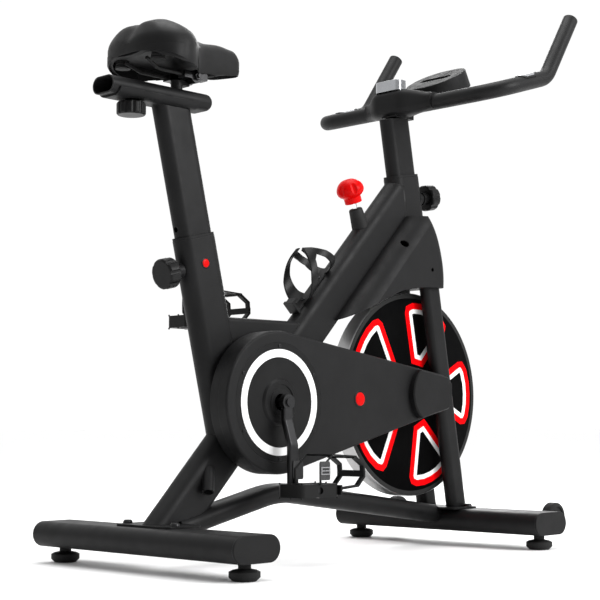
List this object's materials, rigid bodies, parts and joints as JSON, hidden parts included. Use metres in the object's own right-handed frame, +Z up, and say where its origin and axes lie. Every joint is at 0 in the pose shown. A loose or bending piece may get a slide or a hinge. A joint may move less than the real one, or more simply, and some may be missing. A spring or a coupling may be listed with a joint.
{
  "type": "indoor spin bike",
  "caption": "Indoor cycling trainer with belt-driven front flywheel, arched base on levelling feet, sliding saddle, raised handlebar with tablet tray, bottle cage.",
  "frame": {"origin": "on the floor, under the middle of the part's length and width", "axes": "+X forward as the rider faces, +Y to the rider's left, +Z up"},
  "size_m": [1.1015, 0.556, 1.1494],
  "materials": {
    "frame_paint": "satin black powder coat",
    "shroud_plastic": "fine-grained black plastic",
    "black_rubber": "matt",
    "red_plastic": "glossy red",
    "white_trim": "glossy white",
    "silver_trim": "silver lacquered plastic",
    "chrome_plate": "polished",
    "plain_steel": "bare steel",
    "flywheel_iron": "turned and lacquered",
    "printed_cover": "black disc with printed red and white windows",
    "saddle_skin": "stitched synthetic leather",
    "felt": "dense wool felt block"
  },
  "bodies": {
    "frame": {"main_beam": "frame_paint", "seat_tube": "frame_paint", "cross_tube": "frame_paint", "head_tube": "frame_paint", "fork_legs": "frame_paint", "base_rail": "frame_paint", "bottom_bracket_shell": "frame_paint", "bearings": "plain_steel", "rear_stabiliser": "frame_paint", "front_stabiliser": "frame_paint", "stabiliser_end_caps": "shroud_plastic", "stabiliser_bolts": "plain_steel", "left_flywheel_guard": "shroud_plastic", "right_flywheel_guard": "shroud_plastic", "wheel_brackets": "frame_paint", "flywheel_axle": "plain_steel", "drive_belt": "black_rubber", "belt_guard_outer": "shroud_plastic", "belt_guard_inner": "shroud_plastic", "crank_cover": "shroud_plastic", "guard_ring": "white_trim", "axle_cover": "shroud_plastic", "panel_screws": "plain_steel", "brake_boot": "black_rubber", "bottle_cage": "shroud_plastic", "post_bushes": "shroud_plastic"},
    "crankset": {"crank_spindle": "plain_steel", "drive_pulley": "plain_steel", "crank_arms": "frame_paint"},
    "left_pedal_set": {"left_pedal": "shroud_plastic", "left_toe_cage": "shroud_plastic"},
    "right_pedal_set": {"right_pedal": "shroud_plastic", "right_toe_cage": "shroud_plastic"},
    "flywheel_set": {"flywheel": "flywheel_iron", "flywheel_covers": "printed_cover", "flywheel_pulley": "plain_steel"},
    "seat_mast": {"seat_post": "frame_paint"},
    "slider": {"saddle_slider": "frame_paint"},
    "saddle": {"saddle_clamp": "frame_paint", "saddle_suspension": "frame_paint", "saddle_cushion": "saddle_skin", "saddle_shell": "shroud_plastic"},
    "slider_clamp_knob": {"slider_knob": "shroud_plastic"},
    "seat_pin_knob": {"seat_knob": "shroud_plastic"},
    "bar_pin_knob": {"bar_knob": "shroud_plastic"},
    "bar_mast": {"stem_post": "frame_paint", "handlebar": "frame_paint", "console_shroud": "shroud_plastic", "monitor": "silver_trim", "tablet_tray": "shroud_plastic"},
    "button": {"monitor_button": "black_rubber"},
    "brake_plunger": {"brake_rod": "chrome_plate", "brake_pad": "felt"},
    "brake_handle": {"brake_knob": "red_plastic"},
    "rear_left_leveller": {"rear_left_foot": "black_rubber"},
    "rear_right_leveller": {"rear_right_foot": "black_rubber"},
    "front_left_leveller": {"front_left_foot": "black_rubber"},
    "front_right_leveller": {"front_right_foot": "black_rubber"},
    "left_wheel": {"left_transport_wheel": "black_rubber"},
    "right_wheel": {"right_transport_wheel": "black_rubber"}
  },
  "joints": [
    {"name": "flywheel_spin", "type": "hinge", "parent": "frame", "child": "flywheel_set", "pos_m": [0.2656, 0, 0.3216], "axis": [0, 1, 0], "continuous": true},
    {"name": "crank_spin", "type": "hinge", "parent": "frame", "child": "crankset", "pos_m": [-0.1913, 0, 0.2997], "axis": [0, 1, 0], "continuous": true},
    {"name": "left_pedal_spin", "type": "hinge", "parent": "crankset", "child": "left_pedal_set", "pos_m": [-0.1913, 0.156, 0.4612], "axis": [0, 1, 0], "continuous": true},
    {"name": "right_pedal_spin", "type": "hinge", "parent": "crankset", "child": "right_pedal_set", "pos_m": [-0.1913, -0.156, 0.1382], "axis": [0, 1, 0], "continuous": true},
    {"name": "seat_height", "type": "slide", "parent": "frame", "child": "seat_mast", "axis": [-0.2317, 0, 0.9728], "range_m": [-0.1, 0.075]},
    {"name": "saddle_reach", "type": "slide", "parent": "seat_mast", "child": "slider", "axis": [1, 0, 0], "range_m": [-0.06, 0.035]},
    {"name": "saddle_tilt", "type": "hinge", "parent": "slider", "child": "saddle", "pos_m": [-0.357, 0, 0.901], "axis": [0, 1, 0], "range_deg": [-10, 10]},
    {"name": "slider_knob_turn", "type": "hinge", "parent": "seat_mast", "child": "slider_clamp_knob", "pos_m": [-0.486, 0, 0.825], "axis": [0, 0, 1], "range_deg": [-180, 180]},
    {"name": "seat_pin_pull", "type": "slide", "parent": "frame", "child": "seat_pin_knob", "axis": [-0.9728, 0, -0.2317], "range_m": [0, 0.008], "stiffness_N_per_m": 900, "springref_m": -0.004},
    {"name": "bar_pin_pull", "type": "slide", "parent": "frame", "child": "bar_pin_knob", "axis": [0.9845, 0, 0.1754], "range_m": [0, 0.008], "stiffness_N_per_m": 900, "springref_m": -0.004},
    {"name": "bar_height", "type": "slide", "parent": "frame", "child": "bar_mast", "axis": [-0.1754, 0, 0.9845], "range_m": [-0.03, 0.04]},
    {"name": "button_press", "type": "slide", "parent": "bar_mast", "child": "button", "axis": [0, 0, -1], "range_m": [0, 0.0018], "stiffness_N_per_m": 400, "springref_m": -0.001},
    {"name": "brake_press", "type": "slide", "parent": "frame", "child": "brake_plunger", "axis": [0.3817, 0, -0.9243], "range_m": [0, 0.0035], "stiffness_N_per_m": 4000, "springref_m": -0.003},
    {"name": "brake_knob_turn", "type": "hinge", "parent": "brake_plunger", "child": "brake_handle", "pos_m": [0.0965, 0, 0.741], "axis": [-0.3817, 0, 0.9243], "range_deg": [-180, 360]},
    {"name": "rear_left_level", "type": "hinge", "parent": "frame", "child": "rear_left_leveller", "pos_m": [-0.438, 0.247, 0], "axis": [0, 0, 1], "range_deg": [-180, 180]},
    {"name": "rear_right_level", "type": "hinge", "parent": "frame", "child": "rear_right_leveller", "pos_m": [-0.438, -0.247, 0], "axis": [0, 0, 1], "range_deg": [-180, 180]},
    {"name": "front_left_level", "type": "hinge", "parent": "frame", "child": "front_left_leveller", "pos_m": [0.398, 0.247, 0], "axis": [0, 0, 1], "range_deg": [-180, 180]},
    {"name": "front_right_level", "type": "hinge", "parent": "frame", "child": "front_right_leveller", "pos_m": [0.398, -0.247, 0], "axis": [0, 0, 1], "range_deg": [-180, 180]},
    {"name": "left_wheel_spin", "type": "hinge", "parent": "frame", "child": "left_wheel", "pos_m": [0.491, 0.218, 0.061], "axis": [0, 1, 0], "continuous": true},
    {"name": "right_wheel_spin", "type": "hinge", "parent": "frame", "child": "right_wheel", "pos_m": [0.491, -0.218, 0.061], "axis": [0, 1, 0], "continuous": true}
  ],
  "couplings": [
    {"joint": "crank_spin", "follows": "flywheel_spin", "ratio": 0.3}
  ]
}
